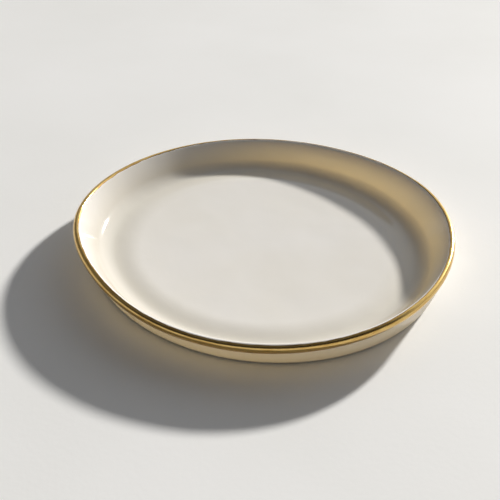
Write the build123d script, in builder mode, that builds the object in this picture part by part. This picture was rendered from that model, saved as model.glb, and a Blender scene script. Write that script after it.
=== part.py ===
"""Shallow handmade porcelain ring dish with a gold edge.

Millimetres, +Z up. The origin lies on the table, on the axis of the well.
The dish is one clay body with two layers fired onto it: a glaze coat over all
but the foot, and a gold lustre band brushed round the lip. Nothing in it moves.
"""
from build123d import *
from math import atan, cos, hypot, pi, radians, sin
import os

# Driving sizes of the finished dish, measured on its glazed surface
rim_radius = 44.9
rim_height = 8.2
lip_thickness = 1.5
lip_crown = 0.7
outer_flare = 3.7
inner_flare = 5.0
foot_shift_x = 0.9
foot_shift_y = 0.1
foot_round = 0.7
cove_radius = 5.5

# The floor is thinnest at its edge, beside the cove, and rises a little to its flat middle
edge_thickness = 1.55
floor_rise = 0.35
rise_run = 4.2

# Fired layers
glaze_thickness = 0.15
glaze_line = 0.5
gold_thickness = 0.1
gold_drop = 2.2
gold_reach = 0.3
gold_brush = 0.4
brush_spare = 1.0

# Unevenness of the hand-formed lip, at even stations counted from +X towards +Y
lip_rise = 1.0
lip_wander = 0.4
rise_shares = (1.1, 0.6, -0.3, -1.2, -1.1, -0.5, 0.2, 0.6, 0.0, -0.1, 0.2, 0.6)
wander_shares = (-0.2, 1.0, -0.6, 0.8, -0.3, -0.7, 0.9, -1.0, 0.3, 1.0, 0.0, -1.2)

# Wobble of the brushed gold's lower and inner edges, at the same stations
drop_shares = (-0.4, 0.3, 0.5, -0.3, 0.2, -0.5, 0.4, 0.9, 0.3, 0.6, -0.2, -0.6)
reach_shares = (0.6, 0.2, -0.3, -0.2, 0.3, 0.8, 0.9, 0.2, -0.9, -1.2, -0.8, 0.1)

# Ruled bands that round the lip, the foot's edge and the cove
lip_bands = 4
foot_bands = 2
cove_bands = 3

# Lean of the wall's two sides, as run over rise, and of the crown between them
shoulder_height = rim_height - lip_crown
outer_lean = outer_flare / shoulder_height
inner_lean = inner_flare / (shoulder_height - edge_thickness)
crown_lean = (outer_lean + inner_lean) / 2

# Radii that follow from the rim: where the lip is highest, the foot, and the floor's edge
crest_radius = rim_radius - lip_thickness / 2 + crown_lean * lip_crown
foot_radius = rim_radius - outer_flare
cove_reach = cove_radius * (hypot(inner_lean, 1) - inner_lean)
floor_radius = rim_radius - lip_thickness - inner_flare - cove_reach


def station_shares(shares, strength):
    """Length by which each station departs, from its share of one named strength."""
    return [strength * share for share in shares]


def lip_line(radius, height, radial=None, vertical=None, start=0):
    """Closed line that wanders and rises with the lip, with a departure at each station."""
    wander = station_shares(wander_shares, lip_wander)
    rise = station_shares(rise_shares, lip_rise)
    radial = radial or [0] * len(wander)
    vertical = vertical or [0] * len(rise)
    points = []
    for step in range(len(rise)):
        station = (start + step) % len(rise)
        angle = radians(360 * station / len(rise))
        reach = radius + wander[station] + radial[station]
        points.append((reach * cos(angle), reach * sin(angle), height + rise[station] + vertical[station]))
    with BuildLine() as line:
        Spline(points, periodic=True)
    return line.edge()


def round_line(radius, centre):
    """Level circle about a centre point."""
    with BuildLine(Plane(centre)) as line:
        CenterArc((0, 0), radius, 0, 360)
    return line.edge()


def foot_lines(skin):
    """Circles up the rounded foot edge, from the flat underside to the leaning wall."""
    rounding = foot_round + skin
    wall_radius = foot_radius + skin * hypot(outer_lean, 1)
    centre_radius = wall_radius - rounding * (hypot(outer_lean, 1) - outer_lean)
    lines = []
    for band in range(foot_bands + 1):
        turn = (pi / 2 - atan(outer_lean)) * band / foot_bands - pi / 2
        height = rounding + rounding * sin(turn)
        lines.append(round_line(centre_radius + rounding * cos(turn), (foot_shift_x, foot_shift_y, height)))
    return lines


def crown_lines(skin):
    """Lines over the crowned lip, from its outer shoulder to its inner one."""
    lines = []
    for band in range(lip_bands + 1):
        turn = pi * band / lip_bands
        side_lean = outer_lean if 2 * band < lip_bands else inner_lean
        half_width = lip_thickness / 2 + skin * hypot(side_lean, 1)
        climb = (lip_crown + skin) * sin(turn)
        radius = rim_radius - lip_thickness / 2 + half_width * cos(turn) + crown_lean * climb
        lines.append(lip_line(radius, shoulder_height + climb))
    return lines


def cove_lines(skin):
    """Circles down the cove, from the foot of the inner wall to the edge of the floor."""
    hollow = cove_radius - skin
    lines = []
    for band in range(cove_bands + 1):
        turn = (pi / 2 - atan(inner_lean)) * (cove_bands - band) / cove_bands
        height = edge_thickness + skin + hollow - hollow * cos(turn)
        lines.append(round_line(floor_radius + hollow * sin(turn), (0, 0, height)))
    return lines


def ruled_bands(lines):
    """Ruled faces that join each closed line to the next."""
    return [Face.make_surface_from_curves(low, high) for low, high in zip(lines, lines[1:])]


def dish_form(skin):
    """The whole dish as one closed form, its surface moved out by skin from the glaze."""
    floor_line = round_line(floor_radius - rise_run, (0, 0, edge_thickness + floor_rise + skin))
    lines = [*foot_lines(skin), *crown_lines(skin), *cove_lines(skin), floor_line]
    underside = Face(Wire([lines[0]]))
    well_middle = Face(Wire([floor_line]))
    return Solid(Shell([underside, *ruled_bands(lines), well_middle]))


def fired_layer(under, over):
    """Even layer between two forms of the dish, from the glaze line up."""
    skins = []
    rings = []
    for skin in (over, under):
        with BuildPart() as form:
            add(dish_form(skin))
            split(bisect_by=Plane.XY.offset(glaze_line), keep=Keep.TOP)
        cut_face, *surface = form.faces().sort_by(Axis.Z)
        skins.extend(surface)
        rings.append(cut_face.outer_wire())
    return Solid(Shell([Face(rings[0], rings[1:]), *skins]))


def brush_ring():
    """Ring round the lip that the gold brush covers, closed inside the clay of the wall."""
    lower = station_shares(drop_shares, -gold_brush)
    inner = station_shares(reach_shares, -gold_brush)
    edge_height = rim_height - gold_drop
    wall_middle = rim_radius - lip_thickness / 2 - crown_lean * (shoulder_height - edge_height)
    # Its seam is across from the dish's, so that no two seams cross
    across = len(rise_shares) // 2
    corners = [
        lip_line(wall_middle, edge_height, None, lower, across),
        lip_line(rim_radius + brush_spare, edge_height, None, lower, across),
        lip_line(rim_radius + brush_spare, rim_height + brush_spare, start=across),
        lip_line(crest_radius - gold_reach, rim_height + brush_spare, inner, start=across),
        lip_line(crest_radius - gold_reach, shoulder_height, inner, start=across),
    ]
    return Solid(Shell(ruled_bands([*corners, corners[0]])))


# Clay body: all of the dish but its fired layers, bare at the foot
with BuildPart() as porcelain_body:
    add(dish_form(-glaze_thickness))
porcelain_body.part.label = "porcelain_body"

# Glaze coat: the even skin between the clay and the glazed surface, wiped off the foot
with BuildPart() as glaze_coat:
    add(fired_layer(-glaze_thickness, 0))
glaze_coat.part.label = "glaze_coat"

# Gold lustre: a thin band on the glaze, over the lip and down its outside
with BuildPart() as gold_rim:
    add(fired_layer(0, gold_thickness))
    add(brush_ring(), mode=Mode.INTERSECT)
gold_rim.part.label = "gold_rim"

os.makedirs("parts", exist_ok=True)
for piece in (porcelain_body, glaze_coat, gold_rim):
    export_step(piece.part, f"parts/{piece.part.label}.step")
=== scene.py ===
import logging
from dataclasses import dataclass, field
from enum import Enum
from math import acos, atan, atan2, cos, hypot, pi, radians, sin

import bpy
import numpy as np
from bpy.types import Material, Node, NodeSocket, NodeTree, Object, World
from mathutils import Matrix, Vector, noise


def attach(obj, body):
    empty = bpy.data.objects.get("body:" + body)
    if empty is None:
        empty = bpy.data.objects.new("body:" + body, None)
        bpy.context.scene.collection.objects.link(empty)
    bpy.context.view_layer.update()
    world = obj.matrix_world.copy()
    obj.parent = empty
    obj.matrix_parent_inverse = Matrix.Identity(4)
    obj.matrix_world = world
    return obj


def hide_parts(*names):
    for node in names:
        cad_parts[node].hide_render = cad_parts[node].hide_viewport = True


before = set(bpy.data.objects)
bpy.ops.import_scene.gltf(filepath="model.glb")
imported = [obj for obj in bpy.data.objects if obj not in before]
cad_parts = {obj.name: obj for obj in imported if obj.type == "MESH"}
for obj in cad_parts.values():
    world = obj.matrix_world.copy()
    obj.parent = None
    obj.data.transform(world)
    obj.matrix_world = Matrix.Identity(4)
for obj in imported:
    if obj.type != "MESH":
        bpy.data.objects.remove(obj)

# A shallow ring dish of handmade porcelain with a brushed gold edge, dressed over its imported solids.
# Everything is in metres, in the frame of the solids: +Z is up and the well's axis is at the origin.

logging.basicConfig(level=logging.INFO, format="%(message)s")
log = logging.getLogger("ring_dish")

MM = 0.001

# Sockets of the Mix node when it mixes two colours
MIX_SHARE, MIX_FROM, MIX_TO, MIX_RESULT = 0, 6, 7, 2

# One value for the whole way round the dish, or one for each step of the way
Around = float | np.ndarray

# Rows of points round the dish, each an array of steps by 3
Rows = list[np.ndarray]

# The two ends of a range, or the two numbers of a place
Pair = tuple[float, float]


class Mark(str, Enum):
    """Names of the values that the meshes store for their finishes."""

    POOL = "pool"
    THIN = "thin"
    EDGE = "edge"
    STROKE = "stroke"


class Pole(Enum):
    """Whether a turned mesh closes on its axis, or runs back to its own first row."""

    CENTRE = "centre"
    LOOP = "loop"


def linear(colour: str) -> tuple[float, float, float, float]:
    """Turns an sRGB hex colour into the linear values that a shader takes.

    Args:
        colour: Six hex digits, such as "F0ECE4".

    Returns:
        Linear red, green and blue, and full opacity.
    """
    channels = [int(colour[start:start + 2], 16) / 255 for start in (0, 2, 4)]
    red, green, blue = (value / 12.92 if value <= 0.04045 else ((value + 0.055) / 1.055) ** 2.4
                        for value in channels)
    return (red, green, blue, 1.0)


def per_metre(size_mm: float) -> float:
    """Noise scale at which one feature of the pattern is size_mm wide."""
    return 1000.0 / size_mm


def direction(bearing: float, height: float) -> Vector:
    """Unit vector that points a way round from +X towards +Y, and a way up, both in degrees."""
    turn, climb = radians(bearing), radians(height)
    return Vector((cos(climb) * cos(turn), cos(climb) * sin(turn), sin(climb)))


def uneven(points: np.ndarray, size: float, strength: float) -> np.ndarray:
    """Smooth noise at each point, with features of the size and departures up to the strength."""
    return np.array([noise.noise(Vector(point) / size) for point in points]) * strength


def add_node(tree: NodeTree, kind: str, inputs: dict[str | int, object] | None = None,
             **settings: object) -> Node:
    """Adds a shader node with its settings, its constant inputs and its links.

    Args:
        tree: Node tree that the node goes into.
        kind: Blender's name of the node type.
        inputs: For each input name or number, an output socket to link or a value to set.
        **settings: Attributes of the node itself.

    Returns:
        The new node.
    """
    node = tree.nodes.new(kind)
    for name, value in settings.items():
        setattr(node, name, value)
    for key, value in (inputs or {}).items():
        socket = node.inputs[key]
        if isinstance(value, NodeSocket):
            tree.links.new(value, socket)
        else:
            socket.default_value = value
    return node


def new_material(name: str) -> tuple[Material, NodeTree, NodeSocket]:
    """Makes a node material with nothing in it but the coordinates on its object.

    Args:
        name: Name of the material.

    Returns:
        The material, its node tree and the socket that gives the coordinates.
    """
    material = bpy.data.materials.new(name)
    material.use_nodes = True
    tree = material.node_tree
    tree.nodes.clear()
    return material, tree, add_node(tree, "ShaderNodeTexCoord").outputs["Object"]


@dataclass(frozen=True)
class GlazedPorcelain:
    """Glazed porcelain: a white, slightly translucent clay under a clear glaze fired to a gloss.

    To the eye it is a warm white under a sharp wet reflection, and the wall is thin enough to let
    light through, so that it glows tan where the lamp stands behind it. The glaze is a shade
    creamier where it pooled, ripples softly and carries a rare speck.
    """

    clay: str = "F7F4EF"
    clay_warm: str = "F4F0E8"
    cloud_mm: float = 26.0
    cloud_fade: Pair = (0.35, 0.7)
    pooled: str = "E8E3D7"
    speck: str = "C4B69E"
    speck_spacing_mm: float = 2.6
    speck_fade: Pair = (0.035, 0.07)
    speck_choice: float = 0.965
    ripple_mm: float = 7.0
    ripple_depth_mm: float = 0.05
    orange_peel_mm: float = 1.6
    orange_peel_depth_mm: float = 0.003
    ior: float = 1.5
    roughness: Pair = (0.06, 0.12)
    glow: str = "F7E9C8"
    glow_share: float = 0.47

    def colour(self, tree: NodeTree, place: NodeSocket, cloud: NodeSocket) -> NodeSocket:
        """Colours the clay under its glaze.

        Args:
            tree: Node tree of the material.
            place: Coordinates on the dish.
            cloud: Soft noise that the clay's warmth follows.

        Returns:
            The socket that gives the colour.
        """
        warmth = add_node(tree, "ShaderNodeMapRange", {
            "Value": cloud, "From Min": self.cloud_fade[0], "From Max": self.cloud_fade[1]})
        clay = add_node(tree, "ShaderNodeMix", {
            MIX_SHARE: warmth.outputs["Result"], MIX_FROM: linear(self.clay),
            MIX_TO: linear(self.clay_warm)}, data_type="RGBA")
        pool = add_node(tree, "ShaderNodeAttribute", attribute_name=Mark.POOL.value)
        glazed = add_node(tree, "ShaderNodeMix", {
            MIX_SHARE: pool.outputs["Fac"], MIX_FROM: clay.outputs[MIX_RESULT],
            MIX_TO: linear(self.pooled)}, data_type="RGBA")
        # Specks of iron in the clay, about a quarter of a millimetre across, in very few of the cells
        cells = add_node(tree, "ShaderNodeTexVoronoi", {
            "Vector": place, "Scale": per_metre(self.speck_spacing_mm)}, feature="F1")
        dot = add_node(tree, "ShaderNodeMapRange", {
            "Value": cells.outputs["Distance"], "To Min": 1.0, "To Max": 0.0,
            "From Min": self.speck_fade[0], "From Max": self.speck_fade[1]})
        chosen = add_node(tree, "ShaderNodeMath", {
            0: cells.outputs["Color"], 1: self.speck_choice}, operation="GREATER_THAN")
        specked = add_node(tree, "ShaderNodeMath", {
            0: dot.outputs["Result"], 1: chosen.outputs[0]}, operation="MULTIPLY")
        colour = add_node(tree, "ShaderNodeMix", {
            MIX_SHARE: specked.outputs[0], MIX_FROM: glazed.outputs[MIX_RESULT],
            MIX_TO: linear(self.speck)}, data_type="RGBA")
        return colour.outputs[MIX_RESULT]

    def skin(self, tree: NodeTree, place: NodeSocket) -> NodeSocket:
        """Ripples the glaze's surface: wide soft waves under a fine orange peel.

        Args:
            tree: Node tree of the material.
            place: Coordinates on the dish.

        Returns:
            The socket that gives the normal.
        """
        ripple = add_node(tree, "ShaderNodeTexNoise", {
            "Vector": place, "Scale": per_metre(self.ripple_mm), "Detail": 2.0, "Roughness": 0.4})
        waves = add_node(tree, "ShaderNodeBump", {
            "Height": ripple.outputs["Fac"], "Distance": self.ripple_depth_mm * MM, "Strength": 1.0})
        peel = add_node(tree, "ShaderNodeTexNoise", {
            "Vector": place, "Scale": per_metre(self.orange_peel_mm), "Detail": 1.0})
        skin = add_node(tree, "ShaderNodeBump", {
            "Height": peel.outputs["Fac"], "Distance": self.orange_peel_depth_mm * MM, "Strength": 1.0,
            "Normal": waves.outputs["Normal"]})
        return skin.outputs["Normal"]

    def material(self) -> Material:
        """Builds the node material.

        Returns:
            The material.
        """
        material, tree, place = new_material("glazed_porcelain")
        cloud = add_node(tree, "ShaderNodeTexNoise", {
            "Vector": place, "Scale": per_metre(self.cloud_mm), "Detail": 4.0, "Roughness": 0.55})
        skin = self.skin(tree, place)
        gloss = add_node(tree, "ShaderNodeMapRange", {
            "Value": cloud.outputs["Fac"], "To Min": self.roughness[0], "To Max": self.roughness[1]})
        solid = add_node(tree, "ShaderNodeBsdfPrincipled", {
            "Base Color": self.colour(tree, place, cloud.outputs["Fac"]),
            "Roughness": gloss.outputs["Result"],
            "IOR": self.ior,
            "Normal": skin})
        # The thin wall lets light through, and the floor, which stands on its foot, doesn't
        through = add_node(tree, "ShaderNodeBsdfTranslucent", {"Color": linear(self.glow), "Normal": skin})
        thin = add_node(tree, "ShaderNodeAttribute", attribute_name=Mark.THIN.value)
        share = add_node(tree, "ShaderNodeMapRange", {
            "Value": thin.outputs["Fac"], "To Max": self.glow_share})
        glazed = add_node(tree, "ShaderNodeMixShader", {
            0: share.outputs["Result"], 1: solid.outputs["BSDF"], 2: through.outputs["BSDF"]})
        add_node(tree, "ShaderNodeOutputMaterial", {"Surface": glazed.outputs["Shader"]})
        return material


@dataclass(frozen=True)
class BareClay:
    """Unglazed porcelain: the foot, wiped clean of glaze and rubbed smooth after firing.

    To the eye it is a dry, chalky cream with a fine sandy grain, faint sanding arcs and a little
    kiln dust rubbed into it. Real grains are a few hundredths of a millimetre and real sanding
    marks a tenth, which is too fine to show, so both are drawn at least ten times as coarse.
    """

    clay: str = "F1E9D9"
    clay_dark: str = "E2D5BD"
    patch_mm: float = 9.0
    patch_fade: Pair = (0.38, 0.66)
    dust: str = "C2AE8E"
    dust_share: float = 0.5
    dust_fade: Pair = (0.6, 0.78)
    grain_mm: float = 0.45
    grain_depth_mm: float = 0.04
    arc_mm: float = 4.398
    arc_depth_mm: float = 0.01
    arc_centre: tuple[float, float, float] = (-110 * MM, -50 * MM, 0.0)
    ior: float = 1.45
    roughness: Pair = (0.7, 0.92)

    def colour(self, tree: NodeTree, place: NodeSocket, grain: NodeSocket) -> NodeSocket:
        """Colours the clay in faint patches, with dust in its grain.

        Args:
            tree: Node tree of the material.
            place: Coordinates on the dish.
            grain: Fine noise of the clay's grain.

        Returns:
            The socket that gives the colour.
        """
        patch = add_node(tree, "ShaderNodeTexNoise", {
            "Vector": place, "Scale": per_metre(self.patch_mm), "Detail": 5.0, "Roughness": 0.6})
        patchy = add_node(tree, "ShaderNodeMapRange", {
            "Value": patch.outputs["Fac"], "From Min": self.patch_fade[0], "From Max": self.patch_fade[1]})
        clay = add_node(tree, "ShaderNodeMix", {
            MIX_SHARE: patchy.outputs["Result"], MIX_FROM: linear(self.clay),
            MIX_TO: linear(self.clay_dark)}, data_type="RGBA")
        dusty = add_node(tree, "ShaderNodeMapRange", {
            "Value": grain, "To Max": self.dust_share,
            "From Min": self.dust_fade[0], "From Max": self.dust_fade[1]})
        colour = add_node(tree, "ShaderNodeMix", {
            MIX_SHARE: dusty.outputs["Result"], MIX_FROM: clay.outputs[MIX_RESULT],
            MIX_TO: linear(self.dust)}, data_type="RGBA")
        return colour.outputs[MIX_RESULT]

    def skin(self, tree: NodeTree, place: NodeSocket, grain: NodeSocket) -> NodeSocket:
        """Roughens the surface with sanding arcs and grain.

        Args:
            tree: Node tree of the material.
            place: Coordinates on the dish.
            grain: Fine noise of the clay's grain.

        Returns:
            The socket that gives the normal.
        """
        # The sanding block swung about a point well outside the foot
        away = add_node(tree, "ShaderNodeMapping", {
            "Vector": place, "Location": tuple(-value for value in self.arc_centre)})
        # The wave texture runs through 20 radians of its wave in one unit of its scale
        arcs = add_node(tree, "ShaderNodeTexWave", {
            "Vector": away.outputs["Vector"], "Scale": per_metre(self.arc_mm) * 2 * pi / 20,
            "Distortion": 4.0, "Detail": 3.0, "Detail Scale": 2.0},
            wave_type="RINGS", rings_direction="Z")
        scratches = add_node(tree, "ShaderNodeBump", {
            "Height": arcs.outputs["Fac"], "Distance": self.arc_depth_mm * MM, "Strength": 0.6})
        sand = add_node(tree, "ShaderNodeBump", {
            "Height": grain, "Distance": self.grain_depth_mm * MM, "Strength": 0.9,
            "Normal": scratches.outputs["Normal"]})
        return sand.outputs["Normal"]

    def material(self) -> Material:
        """Builds the node material.

        Returns:
            The material.
        """
        material, tree, place = new_material("bare_porcelain")
        grain = add_node(tree, "ShaderNodeTexNoise", {
            "Vector": place, "Scale": per_metre(self.grain_mm), "Detail": 3.0, "Roughness": 0.7})
        dryness = add_node(tree, "ShaderNodeMapRange", {
            "Value": grain.outputs["Fac"], "To Min": self.roughness[0], "To Max": self.roughness[1]})
        clay = add_node(tree, "ShaderNodeBsdfPrincipled", {
            "Base Color": self.colour(tree, place, grain.outputs["Fac"]),
            "Roughness": dryness.outputs["Result"],
            "IOR": self.ior,
            "Normal": self.skin(tree, place, grain.outputs["Fac"])})
        add_node(tree, "ShaderNodeOutputMaterial", {"Surface": clay.outputs["BSDF"]})
        return material


@dataclass(frozen=True)
class GoldLustre:
    """Gold lustre: a film of real gold brushed on the glaze and fired a third time.

    To the eye it is bright yellow metal with the glaze's gloss, streaked along the brush stroke,
    and thin and brown where the stroke ran out at its edges. A real brush leaves hair marks of
    about 0.05 mm, which is too fine to show, so the streaks are drawn four times as coarse.
    """

    gold: str = "E6C47C"
    gold_deep: str = "CDA257"
    streak_mm: float = 0.22
    streak_depth_mm: float = 0.006
    streak_fade: Pair = (0.36, 0.56)
    thin: str = "8A5A30"
    thin_fade: Pair = (0.5, 0.95)
    blotch_mm: float = 3.2
    blotch_depth_mm: float = 0.035
    roughness: Pair = (0.26, 0.12)

    def colour(self, tree: NodeTree, streaks: NodeSocket, blotches: NodeSocket) -> NodeSocket:
        """Colours the film: streaked gold, browner where it thins out along its edges.

        Args:
            tree: Node tree of the material.
            streaks: Fine noise drawn out along the stroke.
            blotches: Soft noise of how thickly the gold was laid.

        Returns:
            The socket that gives the colour.
        """
        body = add_node(tree, "ShaderNodeMapRange", {
            "Value": streaks, "From Min": self.streak_fade[0], "From Max": self.streak_fade[1]})
        film = add_node(tree, "ShaderNodeMix", {
            MIX_SHARE: body.outputs["Result"], MIX_FROM: linear(self.gold_deep),
            MIX_TO: linear(self.gold)}, data_type="RGBA")
        # The film thins out over the last few tenths of a millimetre, unevenly along the edge
        edge = add_node(tree, "ShaderNodeAttribute", attribute_name=Mark.EDGE.value)
        ragged = add_node(tree, "ShaderNodeMath", {0: edge.outputs["Fac"], 1: blotches}, operation="ADD")
        full = add_node(tree, "ShaderNodeMapRange", {
            "Value": ragged.outputs[0], "From Min": self.thin_fade[0], "From Max": self.thin_fade[1]})
        colour = add_node(tree, "ShaderNodeMix", {
            MIX_SHARE: full.outputs["Result"], MIX_FROM: linear(self.thin),
            MIX_TO: film.outputs[MIX_RESULT]}, data_type="RGBA")
        return colour.outputs[MIX_RESULT]

    def material(self) -> Material:
        """Builds the node material.

        Returns:
            The material.
        """
        material, tree, place = new_material("gold_lustre")
        stroke = add_node(tree, "ShaderNodeAttribute", attribute_name=Mark.STROKE.value)
        streaks = add_node(tree, "ShaderNodeTexNoise", {
            "Vector": stroke.outputs["Vector"], "Scale": per_metre(self.streak_mm), "Detail": 3.0,
            "Roughness": 0.6}).outputs["Fac"]
        blotches = add_node(tree, "ShaderNodeTexNoise", {
            "Vector": place, "Scale": per_metre(self.blotch_mm), "Detail": 3.0,
            "Roughness": 0.5}).outputs["Fac"]
        ridges = add_node(tree, "ShaderNodeBump", {
            "Height": streaks, "Distance": self.streak_depth_mm * MM, "Strength": 0.7})
        swell = add_node(tree, "ShaderNodeBump", {
            "Height": blotches, "Distance": self.blotch_depth_mm * MM, "Strength": 0.8,
            "Normal": ridges.outputs["Normal"]})
        gloss = add_node(tree, "ShaderNodeMapRange", {
            "Value": streaks, "To Min": self.roughness[0], "To Max": self.roughness[1]})
        metal = add_node(tree, "ShaderNodeBsdfPrincipled", {
            "Base Color": self.colour(tree, streaks, blotches),
            "Metallic": 1.0,
            "Roughness": gloss.outputs["Result"],
            "Normal": swell.outputs["Normal"]})
        add_node(tree, "ShaderNodeOutputMaterial", {"Surface": metal.outputs["BSDF"]})
        return material


@dataclass(frozen=True)
class PaleTable:
    """Painted table top: matt off-white paint, laid on in one coat.

    To the eye it is plain and pale, with the faintest clouding and grain. Brush marks of a few
    tenths of a millimetre are too fine to show, so the grain is drawn about four times as coarse.
    """

    paint: str = "FBFBFA"
    paint_shade: str = "F6F6F4"
    cloud_mm: float = 60.0
    cloud_fade: Pair = (0.35, 0.7)
    grain_mm: float = 1.2
    grain_depth_mm: float = 0.03
    roughness: float = 0.75

    def material(self) -> Material:
        """Builds the node material.

        Returns:
            The material.
        """
        material, tree, place = new_material("pale_table")
        cloud = add_node(tree, "ShaderNodeTexNoise", {
            "Vector": place, "Scale": per_metre(self.cloud_mm), "Detail": 4.0})
        patchy = add_node(tree, "ShaderNodeMapRange", {
            "Value": cloud.outputs["Fac"], "From Min": self.cloud_fade[0], "From Max": self.cloud_fade[1]})
        paint = add_node(tree, "ShaderNodeMix", {
            MIX_SHARE: patchy.outputs["Result"], MIX_FROM: linear(self.paint),
            MIX_TO: linear(self.paint_shade)}, data_type="RGBA")
        grain = add_node(tree, "ShaderNodeTexNoise", {
            "Vector": place, "Scale": per_metre(self.grain_mm), "Detail": 3.0})
        bump = add_node(tree, "ShaderNodeBump", {
            "Height": grain.outputs["Fac"], "Distance": self.grain_depth_mm * MM, "Strength": 0.5})
        coat = add_node(tree, "ShaderNodeBsdfPrincipled", {
            "Base Color": paint.outputs[MIX_RESULT],
            "Roughness": self.roughness,
            "Normal": bump.outputs["Normal"]})
        add_node(tree, "ShaderNodeOutputMaterial", {"Surface": coat.outputs["BSDF"]})
        return material


@dataclass(frozen=True)
class Stations:
    """An unevenness given at even stations round the dish, counted from +X towards +Y."""

    shares: tuple[float, ...]
    strength: float

    def at(self, angles: np.ndarray) -> np.ndarray:
        """Smooth closed curve through the stations, as a periodic cubic spline.

        Args:
            angles: Angles in radians from 0 up to a full turn.

        Returns:
            The unevenness at each angle, in the unit of the strength.
        """
        values = np.array(self.shares) * self.strength
        count = len(values)
        system = np.zeros((count, count))
        for row in range(count):
            system[row, row] = 4.0
            system[row, row - 1] += 1.0
            system[row, (row + 1) % count] += 1.0
        bend = np.linalg.solve(system, 6.0 * (np.roll(values, -1) - 2.0 * values + np.roll(values, 1)))
        place = angles / (2 * pi) * count
        left = np.floor(place).astype(int) % count
        right = (left + 1) % count
        ahead = place - np.floor(place)
        behind = 1.0 - ahead
        chord = behind * values[left] + ahead * values[right]
        curve = (behind ** 3 - behind) * bend[left] + (ahead ** 3 - ahead) * bend[right]
        return chord + curve / 6.0


@dataclass(frozen=True)
class DishSizes:
    """Sizes of the finished dish in metres: those of its solids, with a softer lip and floor."""

    rim_radius: float = 44.9 * MM
    rim_height: float = 8.2 * MM
    lip_thickness: float = 1.5 * MM
    outer_flare: float = 3.7 * MM
    inner_flare: float = 5.0 * MM

    # The lip is rounded by a wide arc down its outer side and a tighter one over its top
    rim_reach: float = 45.03 * MM
    side_round: float = 1.15 * MM
    top_round: float = 0.75 * MM
    side_end: float = radians(42)

    # The foot lies a little off the well's axis. The middle of its rounding is set in, by a share of
    # the rounding, from the radius at which the wall would meet the table
    foot_shift: Pair = (0.9 * MM, 0.1 * MM)
    foot_round: float = 0.7 * MM
    foot_inset_share: float = 0.62

    # The floor is thinnest at its edge, beside the cove, and rises a little to its flat middle
    cove_radius: float = 5.5 * MM
    edge_thickness: float = 1.55 * MM
    floor_rise: float = 0.35 * MM
    rise_run: float = 6.2 * MM

    # Fired layers
    glaze_thickness: float = 0.15 * MM
    glaze_line: float = 0.5 * MM
    gold_drop: float = 2.2 * MM
    gold_reach: float = 1.06 * MM

    # Unevenness of the hand-formed lip, then of the brushed gold's lower and inner edges
    rise: Stations = Stations(
        (1.1, 0.6, -0.3, -1.2, -1.1, -0.5, 0.2, 0.6, 0.0, -0.1, 0.2, 0.6), 1.0 * MM)
    wander: Stations = Stations(
        (-0.2, 1.0, -0.6, 0.8, -0.3, -0.7, 0.9, -1.0, 0.3, 1.0, 0.0, -1.2), 0.4 * MM)
    gold_low: Stations = Stations(
        (-0.4, 0.3, 0.5, -0.3, 0.2, -0.5, 0.4, 0.9, 0.3, 0.6, -0.2, -0.6), 0.4 * MM)
    gold_in: Stations = Stations(
        (0.6, 0.2, -0.3, -0.2, 0.3, 0.8, 0.9, 0.2, -0.9, -1.2, -0.8, 0.1), 0.4 * MM)

    @property
    def side_centre(self) -> Pair:
        """Middle of the arc down the lip's outer side.

        Returns:
            Its radius and height.
        """
        top_height = self.rim_height - self.top_round
        step_down = (self.side_round - self.top_round) * sin(self.side_end)
        return (self.rim_reach - self.side_round, top_height - step_down)

    @property
    def wall_turn(self) -> float:
        """Angle of the outer wall's normal: the wall touches both the lip's arc and the foot's.

        Returns:
            The angle in radians, 0 being level and negative below that.
        """
        radius, height = self.side_centre
        run, climb = radius - self.foot_centre, height - self.foot_round
        away = (self.foot_round - self.side_round) / hypot(run, climb)
        return atan2(climb, run) - acos(away)

    @property
    def inner_turn(self) -> float:
        """Angle of the inner wall's normal, in radians, past the top of the lip."""
        return pi - atan(self.inner_flare / (self.rim_height - self.edge_thickness))

    @property
    def foot_centre(self) -> float:
        """Radius of the middle of the arc that rounds the foot's edge."""
        return self.rim_radius - self.outer_flare - self.foot_inset_share * self.foot_round

    @property
    def well_radius(self) -> float:
        """Radius at which the wall's inside would reach the floor, without the cove."""
        return self.rim_radius - self.lip_thickness - self.inner_flare


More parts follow.
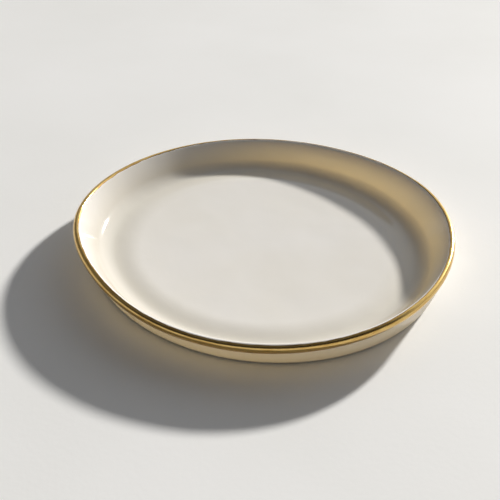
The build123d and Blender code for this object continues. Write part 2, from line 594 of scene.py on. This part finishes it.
@dataclass
class Surface:
    """The dish's outside as rows of points round it, which its pieces are cut from."""

    sizes: DishSizes
    steps: int = 384

    # Slight waves and finer ripples left by hand forming, each by its depth and its width
    hand_wave: float = 0.035 * MM
    hand_wave_size: float = 11.0 * MM
    hand_ripple: float = 0.012 * MM
    hand_ripple_size: float = 3.5 * MM

    # The angle of each step round the dish, and how far the lip wanders and rises there
    angles: np.ndarray = field(init=False)
    wander: np.ndarray = field(init=False)
    rise: np.ndarray = field(init=False)

    def __post_init__(self) -> None:
        """Works out the lip's unevenness at every step."""
        self.angles = np.linspace(0, 2 * pi, self.steps, endpoint=False)
        self.wander = self.sizes.wander.at(self.angles)
        self.rise = self.sizes.rise.at(self.angles)

    def ring(self, radius: Around, height: Around, shift: Pair = (0.0, 0.0)) -> np.ndarray:
        """One row of points round the dish.

        Args:
            radius: Radius of the row.
            height: Height of the row.
            shift: Place of the row's centre.

        Returns:
            Points as an array of steps by 3.
        """
        points = np.empty((self.steps, 3))
        points[:, 0] = shift[0] + radius * np.cos(self.angles)
        points[:, 1] = shift[1] + radius * np.sin(self.angles)
        points[:, 2] = height
        return points

    def foot(self, skin: float, count: int) -> Rows:
        """Rows up the rounded foot edge, from the underside to the leaning wall.

        Args:
            skin: How far the rows stand out from the glazed surface.
            count: Number of rows.

        Returns:
            The rows in order.
        """
        sizes = self.sizes
        rounding = sizes.foot_round + skin
        turns = np.linspace(-pi / 2, sizes.wall_turn, count)
        return [self.ring(sizes.foot_centre + rounding * cos(turn), rounding * (1 + sin(turn)),
                          sizes.foot_shift) for turn in turns]

    def lip(self, turn: Around, skin: float = 0.0) -> np.ndarray:
        """One row on the lip.

        Args:
            turn: Angle of the surface's normal, from the outer wall's over a right angle at the
                top to the inner wall's.
            skin: How far the row stands out from the glazed surface.

        Returns:
            The row.
        """
        sizes = self.sizes
        radius, height = sizes.side_centre
        step_in = np.where(np.greater(turn, sizes.side_end), sizes.side_round - sizes.top_round, 0.0)
        rounding = sizes.side_round - step_in + skin
        radius = radius + step_in * cos(sizes.side_end) + rounding * np.cos(turn)
        height = height + step_in * sin(sizes.side_end) + rounding * np.sin(turn)
        return self.ring(radius + self.wander, height + self.rise)

    def outer_wall(self, share: Around, skin: float = 0.0) -> np.ndarray:
        """One row on the outside of the wall.

        Args:
            share: How far up from the foot's rounding to the lip.
            skin: How far the row stands out from the glazed surface.

        Returns:
            The row.
        """
        low = self.foot(skin, 2)[-1]
        high = self.lip(self.sizes.wall_turn, skin)
        return low + (high - low) * np.reshape(share, (-1, 1))

    def share_at(self, height: Around, skin: float = 0.0) -> np.ndarray:
        """Finds where the outer wall reaches a height.

        Args:
            height: The height.
            skin: How far the wall stands out from the glazed surface.

        Returns:
            The share of the wall at each step.
        """
        low = self.outer_wall(0.0, skin)[:, 2]
        high = self.outer_wall(1.0, skin)[:, 2]
        return (height - low) / (high - low)

    def inside(self, wall_rows: int, cove_rows: int) -> tuple[Rows, Rows]:
        """Rows down the inner wall and round the cove to the floor.

        Args:
            wall_rows: Number of rows on the straight wall.
            cove_rows: Number of rows round the cove.

        Returns:
            The wall's rows, then the cove's.
        """
        sizes = self.sizes
        lip = self.lip(sizes.inner_turn)
        lip_radius = np.hypot(lip[:, 0], lip[:, 1])
        slope = np.arctan2(lip[:, 2] - sizes.edge_thickness, lip_radius - sizes.well_radius)
        reach = sizes.cove_radius * np.tan(slope / 2)
        top_radius = sizes.well_radius + reach * np.cos(slope)
        top_height = sizes.edge_thickness + reach * np.sin(slope)
        wall = [self.ring(lip_radius + (top_radius - lip_radius) * share,
                          lip[:, 2] + (top_height - lip[:, 2]) * share)
                for share in np.linspace(0, 1, wall_rows + 2)[1:-1]]
        cove = [self.ring(sizes.well_radius - reach + sizes.cove_radius * np.sin(turn),
                          sizes.edge_thickness + sizes.cove_radius * (1 - np.cos(turn)))
                for turn in (slope * share for share in np.linspace(1, 0, cove_rows))]
        return wall, cove

    def floor(self, cove_end: np.ndarray, rise_rows: int, flat_rows: int) -> tuple[Rows, Rows]:
        """Rows over the well's floor, which rises softly from the cove to its flat middle.

        Args:
            cove_end: Last row of the cove.
            rise_rows: Number of rows on the rise.
            flat_rows: Number of rows on the middle.

        Returns:
            The rows of the rise, then those of the middle.
        """
        sizes = self.sizes
        start = np.hypot(cove_end[:, 0], cove_end[:, 1])
        middle = start.mean() - sizes.rise_run
        rise = []
        for share in np.linspace(0, 1, rise_rows + 1)[1:]:
            # Steepest a third of the way in, and level at both ends
            climb = 1 - (1 - share) ** 3 * (1 + 3 * share)
            height = sizes.edge_thickness + sizes.floor_rise * climb
            rise.append(self.ring(start + (middle - start) * share, height))
        flat = [self.ring(middle * share, sizes.edge_thickness + sizes.floor_rise)
                for share in np.linspace(1, 0, flat_rows + 2)[1:-1]]
        return rise, flat

    def worked(self, rows: np.ndarray) -> tuple[np.ndarray, np.ndarray]:
        """Adds the slight waves that forming by hand leaves in the surface.

        Args:
            rows: Rows of points, as an array of rows by steps by 3.

        Returns:
            The moved points and the surface's normals.
        """
        points, normals = rows.reshape(-1, 3), self.normals(rows)
        wave = uneven(points, self.hand_wave_size, self.hand_wave)
        ripple = uneven(points, self.hand_ripple_size, self.hand_ripple)
        # Set in by the ripple's own height, so that the waves stay within the solids
        departure = (wave + ripple - self.hand_ripple).reshape(*rows.shape[:2], 1)
        return rows + normals * departure, normals

    @staticmethod
    def normals(rows: np.ndarray) -> np.ndarray:
        """Unit normals of a grid of rows, pointing out of the dish.

        Args:
            rows: Rows of points, as an array of rows by steps by 3.

        Returns:
            The normals, in the same shape.
        """
        around = np.roll(rows, -1, axis=1) - np.roll(rows, 1, axis=1)
        across = np.roll(rows, -1, axis=0) - np.roll(rows, 1, axis=0)
        across[0] = rows[1] - rows[0]
        across[-1] = rows[-1] - rows[-2]
        normals = np.cross(around, across)
        length = np.linalg.norm(normals, axis=2, keepdims=True)
        return normals / np.maximum(length, 1e-12)


def turned_mesh(name: str, rows: np.ndarray, pole: Pole, marks: dict[Mark, np.ndarray],
                finish: Material) -> Object:
    """Makes a smooth closed mesh from rows of points round the dish.

    Args:
        name: Name of the object.
        rows: Rows of points in order, as an array of rows by steps by 3.
        pole: Whether the ends close on a centre point or the rows run in a loop.
        marks: Values to store, by row and step, and by 3 where they are vectors.
        finish: Material of the piece.

    Returns:
        The new object.
    """
    count, steps, _ = rows.shape
    points = [tuple(point) for point in rows.reshape(-1, 3)]
    faces = []
    for row in range(count if pole is Pole.LOOP else count - 1):
        low, high = row * steps, (row + 1) % count * steps
        for step in range(steps):
            ahead = (step + 1) % steps
            faces.append((low + step, low + ahead, high + ahead, high + step))
    if pole is Pole.CENTRE:
        for row, (first, second) in ((0, (1, 0)), (count - 1, (0, 1))):
            centre = len(points)
            points.append(tuple(rows[row].mean(axis=0)))
            for step in range(steps):
                pair = (row * steps + step, row * steps + (step + 1) % steps)
                faces.append((centre, pair[first], pair[second]))
    mesh = bpy.data.meshes.new(name)
    mesh.from_pydata(points, [], faces)
    for mark, values in marks.items():
        kind, key, width = ("FLOAT_VECTOR", "vector", 3) if values.ndim == 3 else ("FLOAT", "value", 1)
        data = np.zeros((len(points), width))
        data[:count * steps] = values.reshape(-1, width)
        data[count * steps:] = data[count * steps - 1]
        mesh.attributes.new(mark.value, kind, "POINT").data.foreach_set(key, data.ravel())
    mesh.shade_smooth()
    mesh.validate()
    mesh.materials.append(finish)
    piece = bpy.data.objects.new(name, mesh)
    bpy.context.scene.collection.objects.link(piece)
    return piece


@dataclass
class ClayFoot:
    """What shows of the bare clay body: the underside and the foot's edge up to the glaze line."""

    surface: Surface
    finish: BareClay = BareClay()

    # Rows over the underside, up the foot's edge and up the wall
    hub_share: float = 0.06
    base_rows: int = 21
    edge_rows: int = 8
    wall_shares: tuple[float, ...] = (0.25, 0.5, 0.75, 1.0)

    # The clay goes on past the glaze line, under the glaze, and is closed by a cap
    cover: float = 0.25 * MM
    cap_shares: tuple[float, ...] = (0.03, 0.3, 0.6, 0.94)

    def build(self) -> Object:
        """Builds and dresses the bare foot.

        Returns:
            The piece, closed inside the glazed form.
        """
        sizes = self.surface.sizes
        skin = -sizes.glaze_thickness
        edge = self.surface.foot(skin, self.edge_rows)
        base = np.hypot(edge[0][:, 0] - sizes.foot_shift[0], edge[0][:, 1] - sizes.foot_shift[1])
        shares = np.linspace(self.hub_share, 1, self.base_rows + 1)[:-1]
        rows = [self.surface.ring(base * share, 0.0, sizes.foot_shift) for share in shares]
        rows += edge
        line = self.surface.share_at(sizes.glaze_line + self.cover, skin)
        rows += [self.surface.outer_wall(line * share, skin) for share in self.wall_shares]
        top = rows[-1]
        axis = np.array([0.0, 0.0, sizes.glaze_line + self.cover])
        rows += [top + (axis - top) * share for share in self.cap_shares]
        piece = turned_mesh("bare_clay_foot", np.stack(rows), Pole.CENTRE, {}, self.finish.material())
        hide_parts("porcelain_body")
        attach(piece, "root")
        return piece


@dataclass
class GlazedRows:
    """Rows of the glazed form in order, with how far glaze pooled and how thin the body is there."""

    rows: Rows = field(default_factory=list)
    pool: list[float] = field(default_factory=list)
    thin: list[float] = field(default_factory=list)

    def lay(self, new: Rows, pool: Pair, thin: Pair) -> None:
        """Adds a stretch of rows.

        Args:
            new: The rows.
            pool: How far glaze pooled, at the first row and at the last.
            thin: How thin the body is, at the first row and at the last.
        """
        self.rows.extend(new)
        self.pool.extend(np.linspace(*pool, len(new)))
        self.thin.extend(np.linspace(*thin, len(new)))


@dataclass
class GlazedForm:
    """The glazed dish above its foot: the rolled edge of the glaze, the wall, the lip and the well."""

    surface: Surface
    finish: GlazedPorcelain = GlazedPorcelain()

    # The form's own underside lies just above the bare clay's, hidden by it
    cover: float = 0.3 * MM
    underside_shares: tuple[float, ...] = (0.05, 0.35, 0.65, 0.97)
    buried_rows: int = 6

    # The glaze ends above the foot in a small roll along an unsteady line
    line_wobble: float = 0.07 * MM
    line_wobble_size: float = 5.0 * MM
    roll_rows: int = 7

    # Rows of the outer wall, the lip's two arcs, the inner wall, the cove and the floor
    outer_rows: int = 24
    side_rows: int = 16
    top_rows: int = 16
    wall_rows: int = 14
    cove_rows: int = 18
    rise_rows: int = 24
    flat_rows: int = 22

    # How thin the hand-formed wall is round the dish: thickest at the back left
    thin_round: Stations = Stations(
        (1.0, 1.0, 1.0, 0.9, 0.6, 0.45, 0.55, 0.7, 0.8, 0.85, 0.85, 0.95), 1.0)

    def lay_outside(self, laid: GlazedRows) -> None:
        """Lays the hidden underside, the rolled edge of the glaze and the outer wall.

        Args:
            laid: Rows that these are added to.
        """
        surface, sizes = self.surface, self.surface.sizes
        wobble = uneven(surface.ring(sizes.foot_centre, 0.0), self.line_wobble_size, self.line_wobble)
        line = surface.share_at(sizes.glaze_line + wobble)
        roll = surface.share_at(sizes.glaze_line + wobble + sizes.glaze_thickness) - line
        buried = [row + np.array([0.0, 0.0, self.cover])
                  for row in surface.foot(-self.cover, self.buried_rows)]
        axis = np.array([*sizes.foot_shift, self.cover])
        laid.lay([axis + (buried[0] - axis) * share for share in self.underside_shares],
                 pool=(0.5, 0.5), thin=(0, 0))
        laid.lay(buried, pool=(0.5, 0.5), thin=(0.5, 0.5))
        laid.lay([surface.outer_wall(line, -self.cover)], pool=(0.5, 0.5), thin=(1, 1))
        for turn in np.linspace(0, pi / 2, self.roll_rows):
            skin = -sizes.glaze_thickness * (1 - sin(turn))
            laid.lay([surface.outer_wall(line + roll * (1 - cos(turn)), skin)], pool=(0.7, 0.7), thin=(1, 1))
        above = line + roll
        shares = np.linspace(0, 1, self.outer_rows + 1)[1:]
        laid.lay([surface.outer_wall(above + (1 - above) * share) for share in shares],
                 pool=(0.4, 0.0), thin=(1, 1))

    def lay_inside(self, laid: GlazedRows) -> None:
        """Lays the lip, the inner wall, the cove and the floor.

        Args:
            laid: Rows that these are added to.
        """
        surface, sizes = self.surface, self.surface.sizes
        side = np.linspace(sizes.wall_turn, sizes.side_end, self.side_rows + 1)[1:]
        top = np.linspace(sizes.side_end, sizes.inner_turn, self.top_rows + 1)[1:]
        laid.lay([surface.lip(turn) for turn in (*side, *top)], pool=(0, 0), thin=(0.1, 0.1))
        wall, cove = surface.inside(self.wall_rows, self.cove_rows)
        rise, flat = surface.floor(cove[-1], self.rise_rows, self.flat_rows)
        laid.lay(wall, pool=(0.05, 0.6), thin=(0.55, 1))
        laid.lay(cove, pool=(0.65, 1.0), thin=(1, 0))
        laid.lay(rise, pool=(0.95, 0.1), thin=(0, 0))
        laid.lay(flat, pool=(0.1, 0.0), thin=(0, 0))

    def build(self) -> Object:
        """Builds and dresses the glazed form.

        Returns:
            The piece, closed underneath inside the clay.
        """
        laid = GlazedRows()
        self.lay_outside(laid)
        self.lay_inside(laid)
        grid, _ = self.surface.worked(np.stack(laid.rows))
        marks = {Mark.POOL: np.outer(laid.pool, np.ones(self.surface.steps)),
                 Mark.THIN: np.outer(laid.thin, self.thin_round.at(self.surface.angles))}
        piece = turned_mesh("glazed_dish", grid, Pole.CENTRE, marks, self.finish.material())
        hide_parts("glaze_coat")
        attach(piece, "root")
        return piece


@dataclass
class GoldBand:
    """The gold lustre brushed over the lip and down its outside."""

    surface: Surface
    finish: GoldLustre = GoldLustre()

    # The film stands proud of the glaze and bites into it. Along its edges its colour thins out over
    # the feather, and its height over a share of the feather
    film: float = 0.035 * MM
    bite: float = 0.03 * MM
    feather: float = 0.45 * MM
    full_share: float = 0.5

    # Unsteadiness of the hand that brushed the edges, each read at its own height in the noise
    shake: float = 0.11 * MM
    shake_size: float = 2.2 * MM
    tremble: float = 0.05 * MM
    tremble_size: float = 0.7 * MM
    inner_hand: float = 100 * MM
    lower_hand: float = 200 * MM

    # The lower edge stays below this share of the wall
    highest_share: float = 0.97

    # Streaks are this many times as long as they are wide
    streak_length: float = 14.0

    # Rows up the wall and over the lip, and places on the lip among which the inner edge is found
    wall_rows: int = 10
    lip_rows: int = 43
    lip_samples: int = 200

    def unsteady(self, hand: float) -> np.ndarray:
        """Unsteadiness of one brushed edge, at each step.

        Args:
            hand: Height at which the noise is read.

        Returns:
            Departures in metres.
        """
        path = self.surface.ring(self.surface.sizes.rim_radius, hand)
        return uneven(path, self.shake_size, self.shake) + uneven(path, self.tremble_size, self.tremble)

    def lower_edge(self) -> np.ndarray:
        """Finds where on the outer wall the gold begins.

        Returns:
            The share of the wall at each step.
        """
        surface, sizes = self.surface, self.surface.sizes
        low = sizes.rim_height - sizes.gold_drop + surface.rise - sizes.gold_low.at(surface.angles)
        return np.minimum(surface.share_at(low + self.unsteady(self.lower_hand)), self.highest_share)

    def inner_edge(self) -> np.ndarray:
        """Finds where over the lip the gold ends.

        Returns:
            The angle of the lip's normal at each step.
        """
        surface, sizes = self.surface, self.surface.sizes
        inset = sizes.gold_reach + sizes.gold_in.at(surface.angles) + self.unsteady(self.inner_hand)
        turns = np.linspace(0, sizes.inner_turn, self.lip_samples)
        insets = [sizes.rim_reach + surface.wander[0] - hypot(*surface.lip(turn)[0, :2])
                  for turn in turns]
        return np.interp(inset, insets, turns)

    def stroke(self, travel: np.ndarray) -> np.ndarray:
        """Coordinates that are drawn out along the brush stroke, for the streaks in the film.

        Args:
            travel: Distance across the band, by row and step.

        Returns:
            Vectors, by row and step and 3.
        """
        vectors = np.empty((*travel.shape, 3))
        vectors[:] = self.surface.ring(self.surface.sizes.rim_radius / self.streak_length, 0.0)
        vectors[..., 2] = travel
        return vectors

    def build(self) -> Object:
        """Builds and dresses the band.

        Returns:
            The piece, a thin closed skin that hugs the glaze.
        """
        surface, sizes = self.surface, self.surface.sizes
        start, end = self.lower_edge(), self.inner_edge()
        rows = [surface.outer_wall(start + (1 - start) * share)
                for share in np.linspace(0, 1, self.wall_rows)]
        rows += [surface.lip(sizes.wall_turn + (end - sizes.wall_turn) * share)
                 for share in np.linspace(0, 1, self.lip_rows + 1)[1:]]
        grid, normals = surface.worked(np.stack(rows))

        travel = np.zeros(grid.shape[:2])
        travel[1:] = np.cumsum(np.linalg.norm(np.diff(grid, axis=0), axis=2), axis=0)
        inset = np.minimum(travel, travel[-1] - travel)
        edge = np.clip(inset / self.feather, 0, 1)
        thickness = self.film * np.sqrt(np.clip(edge / self.full_share, 0, 1))
        over = grid + normals * thickness[..., None]
        under = grid - normals * self.bite
        marks = {Mark.EDGE: np.concatenate([edge, edge[::-1]]),
                 Mark.STROKE: self.stroke(np.concatenate([travel, travel[::-1]]))}
        loop = np.concatenate([over, under[::-1]])
        piece = turned_mesh("gold_lustre_band", loop, Pole.LOOP, marks, self.finish.material())
        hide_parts("gold_rim")
        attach(piece, "root")
        return piece


@dataclass(frozen=True)
class RoomPart:
    """One part of the room round the table, which fades in about a direction given in degrees.

    The fade holds the cosines of the angle to that direction at which the part begins to show and
    at which it is full.
    """

    colour: str
    bearing: float
    height: float
    fade: Pair


@dataclass
class Studio:
    """Plain pale table, one soft lamp, the room round it and the camera, with angles in degrees."""

    table_size: float = 12.0
    table_drop: float = 0.02 * MM
    table_cells: int = 32
    table_finish: PaleTable = PaleTable()

    lamp_bearing: float = 55.0
    lamp_height: float = 20.4
    lamp_spread: float = 3.8
    lamp_strength: float = 5.2
    lamp_colour: str = "FFFCF7"

    # The room, each part mixed over those before it
    front_wall: str = "2F2D2B"
    back_wall: RoomPart = RoomPart("716F6C", bearing=90.0, height=0.0, fade=(-0.4, 0.3))
    ceiling: RoomPart = RoomPart("66676A", bearing=0.0, height=90.0, fade=(0.5, 0.85))
    window: RoomPart = RoomPart("E2E4E6", bearing=55.0, height=0.0, fade=(0.4, 0.8))
    # A pale band along the foot of the walls, given from straight up, so that it fades in downwards
    skirting: RoomPart = RoomPart("C4C3C0", bearing=0.0, height=90.0, fade=(0.2, 0.1))

    camera_distance: float = 242.8 * MM
    camera_elevation: float = 34.49
    camera_roll: float = 3.63
    camera_target: tuple[float, float, float] = (0.88 * MM, 0.08 * MM, 0.0)
    camera_lens: float = 72.0
    camera_shift: Pair = (-0.0358, 0.0038)
    camera_nearest: float = 10 * MM

    def table(self) -> Object:
        """Builds the table top, just under the foot.

        Returns:
            The table, marked as part of the stage.
        """
        across = self.table_cells + 1
        line = np.linspace(-self.table_size / 2, self.table_size / 2, across)
        points = [(x, y, -self.table_drop) for y in line for x in line]
        corners = [row * across + column
                   for row in range(self.table_cells) for column in range(self.table_cells)]
        faces = [(corner, corner + 1, corner + across + 1, corner + across) for corner in corners]
        mesh = bpy.data.meshes.new("table")
        mesh.from_pydata(points, [], faces)
        mesh.materials.append(self.table_finish.material())
        table = bpy.data.objects.new("table", mesh)
        bpy.context.scene.collection.objects.link(table)
        return table

    def lamp(self) -> Object:
        """Points the soft distant key lamp from low at the back right, so that it falls off nowhere.

        Returns:
            The lamp.
        """
        towards = direction(self.lamp_bearing, self.lamp_height)
        data = bpy.data.lights.new("key_lamp", "SUN")
        data.angle = radians(self.lamp_spread)
        data.energy = self.lamp_strength
        data.color = linear(self.lamp_colour)[:3]
        lamp = bpy.data.objects.new("key_lamp", data)
        lamp.location = towards
        lamp.rotation_euler = towards.to_track_quat("Z", "Y").to_euler()
        bpy.context.scene.collection.objects.link(lamp)
        return lamp

    def surroundings(self) -> World:
        """Lights the scene from a room with a large soft window at the back right.

        Returns:
            The world.
        """
        world = bpy.data.worlds.new("soft_room")
        world.use_nodes = True
        tree = world.node_tree
        tree.nodes.clear()
        looking = add_node(tree, "ShaderNodeTexCoord").outputs["Generated"]
        room = linear(self.front_wall)
        for part in (self.back_wall, self.ceiling, self.window, self.skirting):
            facing = add_node(tree, "ShaderNodeVectorMath", {
                0: looking, 1: direction(part.bearing, part.height)}, operation="DOT_PRODUCT")
            share = add_node(tree, "ShaderNodeMapRange", {
                "Value": facing.outputs["Value"], "From Min": part.fade[0], "From Max": part.fade[1]},
                interpolation_type="SMOOTHSTEP")
            room = add_node(tree, "ShaderNodeMix", {
                MIX_SHARE: share.outputs["Result"], MIX_FROM: room,
                MIX_TO: linear(part.colour)}, data_type="RGBA").outputs[MIX_RESULT]
        light = add_node(tree, "ShaderNodeBackground", {"Color": room})
        add_node(tree, "ShaderNodeOutputWorld", {"Surface": light.outputs["Background"]})
        bpy.context.scene.world = world
        return world

    def camera(self) -> Object:
        """Sets the camera at the photograph's viewing angle.

        Returns:
            The camera.
        """
        tilt, roll = radians(self.camera_elevation), radians(self.camera_roll)
        forward = Vector((0.0, cos(tilt), -sin(tilt)))
        right, up = Vector((1.0, 0.0, 0.0)), Vector((0.0, sin(tilt), cos(tilt)))
        turned_right = right * cos(roll) + up * sin(roll)
        turned_up = up * cos(roll) - right * sin(roll)
        place = Vector(self.camera_target) - forward * self.camera_distance
        axes = Matrix((turned_right, turned_up, -forward)).transposed()
        data = bpy.data.cameras.new("camera")
        data.lens = self.camera_lens
        data.clip_start = self.camera_nearest
        data.shift_x, data.shift_y = self.camera_shift
        camera = bpy.data.objects.new("camera", data)
        camera.matrix_world = Matrix.Translation(place) @ axes.to_4x4()
        bpy.context.scene.collection.objects.link(camera)
        bpy.context.scene.camera = camera
        return camera

    def build(self) -> None:
        """Builds all of the studio and reports it."""
        for part in (self.table(), self.lamp(), self.surroundings(), self.camera()):
            log.info("studio: %s", part.name)
        bpy.context.scene.view_settings.view_transform = "Standard"


def main() -> None:
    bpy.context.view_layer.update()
    surface = Surface(DishSizes())
    for maker in (ClayFoot(surface), GlazedForm(surface), GoldBand(surface)):
        piece = maker.build()
        log.info("%s: %d points", piece.name, len(piece.data.vertices))
    Studio().build()


if __name__ == "__main__":
    main()
